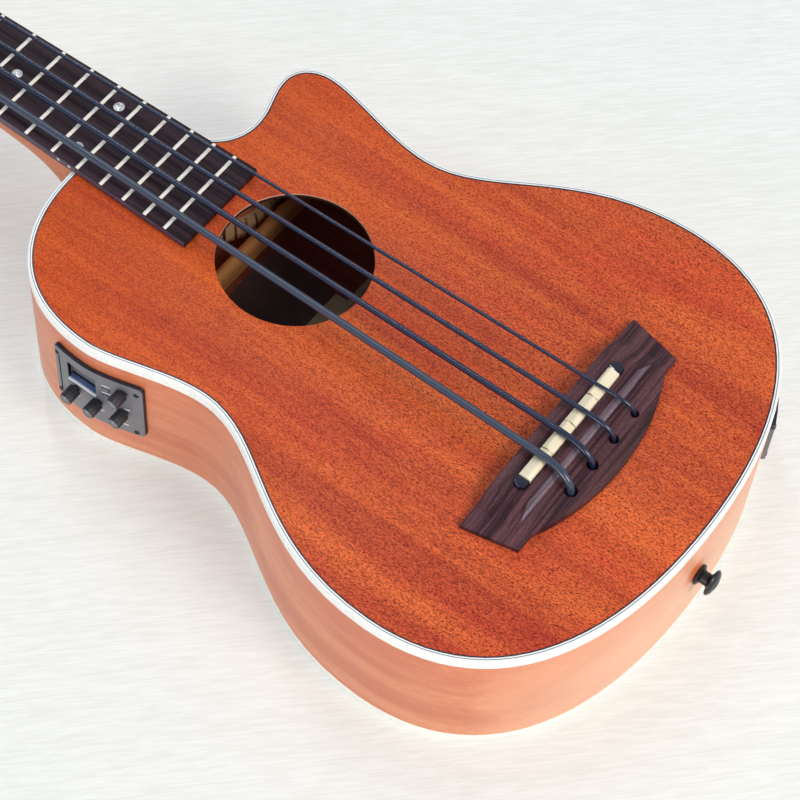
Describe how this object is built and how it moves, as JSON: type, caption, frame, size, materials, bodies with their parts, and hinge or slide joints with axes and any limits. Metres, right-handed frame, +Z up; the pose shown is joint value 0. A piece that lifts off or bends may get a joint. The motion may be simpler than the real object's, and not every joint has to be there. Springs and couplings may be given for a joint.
{
  "type": "bass ukulele",
  "caption": "Four-string bass ukulele with a single cutaway hollow body, bound edges, slanted headstock with geared tuners, and a side-mounted preamp.",
  "frame": {"origin": "on the back plate's outer face, on the body's centre line, straight under the end of the 520 mm scale at the saddle", "axes": "+X along the strings towards the headstock, +Y to the bass side, +Z up out of the soundboard"},
  "size_m": [0.7543, 0.2584, 0.0944],
  "materials": {
    "mahogany_top": "satin, straight-grained mahogany with darker streaks and fine pores",
    "mahogany_side": "satin, lighter salmon mahogany",
    "mahogany_neck": "satin mahogany",
    "pale_wood": "bare light wood",
    "rosewood": "oiled dark rosewood",
    "white_binding": "gloss white",
    "bone": "cream, lightly polished",
    "fret_wire": "polished nickel silver",
    "string_polymer": "smooth dark polymer with a bluish sheen",
    "pickup_braid": "copper braid",
    "black_moulding": "fine moulded black",
    "tuner_button": "gloss black",
    "tuner_casting": "black plated casting",
    "black_metal": "black plated, satin"
  },
  "bodies": {
    "ukulele": {"soundboard": "mahogany_top", "back_plate": "mahogany_top", "side_rim": "mahogany_side", "neck": "mahogany_neck", "top_lining": "pale_wood", "back_lining": "pale_wood", "neck_block": "pale_wood", "tail_block": "pale_wood", "bridge_plate": "pale_wood", "top_brace": "pale_wood", "back_brace_lower": "pale_wood", "back_brace_upper": "pale_wood", "fretboard": "rosewood", "bridge": "rosewood", "top_binding": "white_binding", "back_binding": "white_binding", "nut": "bone", "saddle": "bone", "fret_01": "fret_wire", "fret_02": "fret_wire", "fret_03": "fret_wire", "fret_04": "fret_wire", "fret_05": "fret_wire", "fret_06": "fret_wire", "fret_07": "fret_wire", "fret_08": "fret_wire", "fret_09": "fret_wire", "fret_10": "fret_wire", "fret_11": "fret_wire", "fret_12": "fret_wire", "fret_13": "fret_wire", "fret_14": "fret_wire", "fret_15": "fret_wire", "fret_16": "fret_wire", "string_e": "string_polymer", "string_a": "string_polymer", "string_d": "string_polymer", "string_g": "string_polymer", "saddle_pickup": "pickup_braid", "preamp_panel": "black_moulding", "jack_plate": "black_moulding", "tuner_e_housing": "tuner_casting", "tuner_a_housing": "tuner_casting", "tuner_d_housing": "tuner_casting", "tuner_g_housing": "tuner_casting", "strap_button": "black_metal"},
    "tuner_e_post": {"tuner_e_post": "black_metal"},
    "tuner_e_knob": {"tuner_e_knob": "tuner_button"},
    "tuner_a_post": {"tuner_a_post": "black_metal"},
    "tuner_a_knob": {"tuner_a_knob": "tuner_button"},
    "tuner_d_post": {"tuner_d_post": "black_metal"},
    "tuner_d_knob": {"tuner_d_knob": "tuner_button"},
    "tuner_g_post": {"tuner_g_post": "black_metal"},
    "tuner_g_knob": {"tuner_g_knob": "tuner_button"},
    "volume_knob": {"preamp_volume_knob": "black_moulding"},
    "bass_knob": {"preamp_bass_knob": "black_moulding"},
    "middle_knob": {"preamp_middle_knob": "black_moulding"},
    "treble_knob": {"preamp_treble_knob": "black_moulding"},
    "phase_button": {"preamp_phase_button": "black_moulding"},
    "tuner_button": {"preamp_tuner_button": "black_moulding"}
  },
  "joints": [
    {"name": "tuner_e_knob_spin", "type": "hinge", "parent": "ukulele", "child": "tuner_e_knob", "pos_m": [0.57739, 0.022, 0.04937], "axis": [0, 1, 0], "continuous": true},
    {"name": "tuner_e_post_spin", "type": "hinge", "parent": "ukulele", "child": "tuner_e_post", "pos_m": [0.57, 0.022, 0.06894], "axis": [0.2079, 0, 0.9781], "continuous": true},
    {"name": "tuner_a_knob_spin", "type": "hinge", "parent": "ukulele", "child": "tuner_a_knob", "pos_m": [0.63216, 0.02, 0.03773], "axis": [0, 1, 0], "continuous": true},
    {"name": "tuner_a_post_spin", "type": "hinge", "parent": "ukulele", "child": "tuner_a_post", "pos_m": [0.62477, 0.02, 0.05729], "axis": [0.2079, 0, 0.9781], "continuous": true},
    {"name": "tuner_d_knob_spin", "type": "hinge", "parent": "ukulele", "child": "tuner_d_knob", "pos_m": [0.63216, -0.02, 0.03773], "axis": [0, -1, 0], "continuous": true},
    {"name": "tuner_d_post_spin", "type": "hinge", "parent": "ukulele", "child": "tuner_d_post", "pos_m": [0.62477, -0.02, 0.05729], "axis": [0.2079, 0, 0.9781], "continuous": true},
    {"name": "tuner_g_knob_spin", "type": "hinge", "parent": "ukulele", "child": "tuner_g_knob", "pos_m": [0.57739, -0.022, 0.04937], "axis": [0, -1, 0], "continuous": true},
    {"name": "tuner_g_post_spin", "type": "hinge", "parent": "ukulele", "child": "tuner_g_post", "pos_m": [0.57, -0.022, 0.06894], "axis": [0.2079, 0, 0.9781], "continuous": true},
    {"name": "volume_knob_turn", "type": "hinge", "parent": "ukulele", "child": "volume_knob", "pos_m": [0.1756, 0.09565, 0.056], "axis": [0, 1, 0], "range_deg": [-150, 150]},
    {"name": "bass_knob_turn", "type": "hinge", "parent": "ukulele", "child": "bass_knob", "pos_m": [0.2014, 0.09898, 0.0394], "axis": [0, 1, 0], "range_deg": [-150, 150]},
    {"name": "middle_knob_turn", "type": "hinge", "parent": "ukulele", "child": "middle_knob", "pos_m": [0.1885, 0.09867, 0.0394], "axis": [0, 1, 0], "range_deg": [-150, 150]},
    {"name": "treble_knob_turn", "type": "hinge", "parent": "ukulele", "child": "treble_knob", "pos_m": [0.1756, 0.09565, 0.0394], "axis": [0, 1, 0], "range_deg": [-150, 150]},
    {"name": "phase_button_press", "type": "slide", "parent": "ukulele", "child": "phase_button", "axis": [0, -1, 0], "range_m": [0, 0.0006], "stiffness_N_per_m": 400},
    {"name": "tuner_button_press", "type": "slide", "parent": "ukulele", "child": "tuner_button", "axis": [0, -1, 0], "range_m": [0, 0.0006], "stiffness_N_per_m": 400}
  ],
  "couplings": [
    {"joint": "tuner_e_post_spin", "follows": "tuner_e_knob_spin", "ratio": 0.0625},
    {"joint": "tuner_a_post_spin", "follows": "tuner_a_knob_spin", "ratio": 0.0625},
    {"joint": "tuner_d_post_spin", "follows": "tuner_d_knob_spin", "ratio": 0.0625},
    {"joint": "tuner_g_post_spin", "follows": "tuner_g_knob_spin", "ratio": 0.0625}
  ]
}
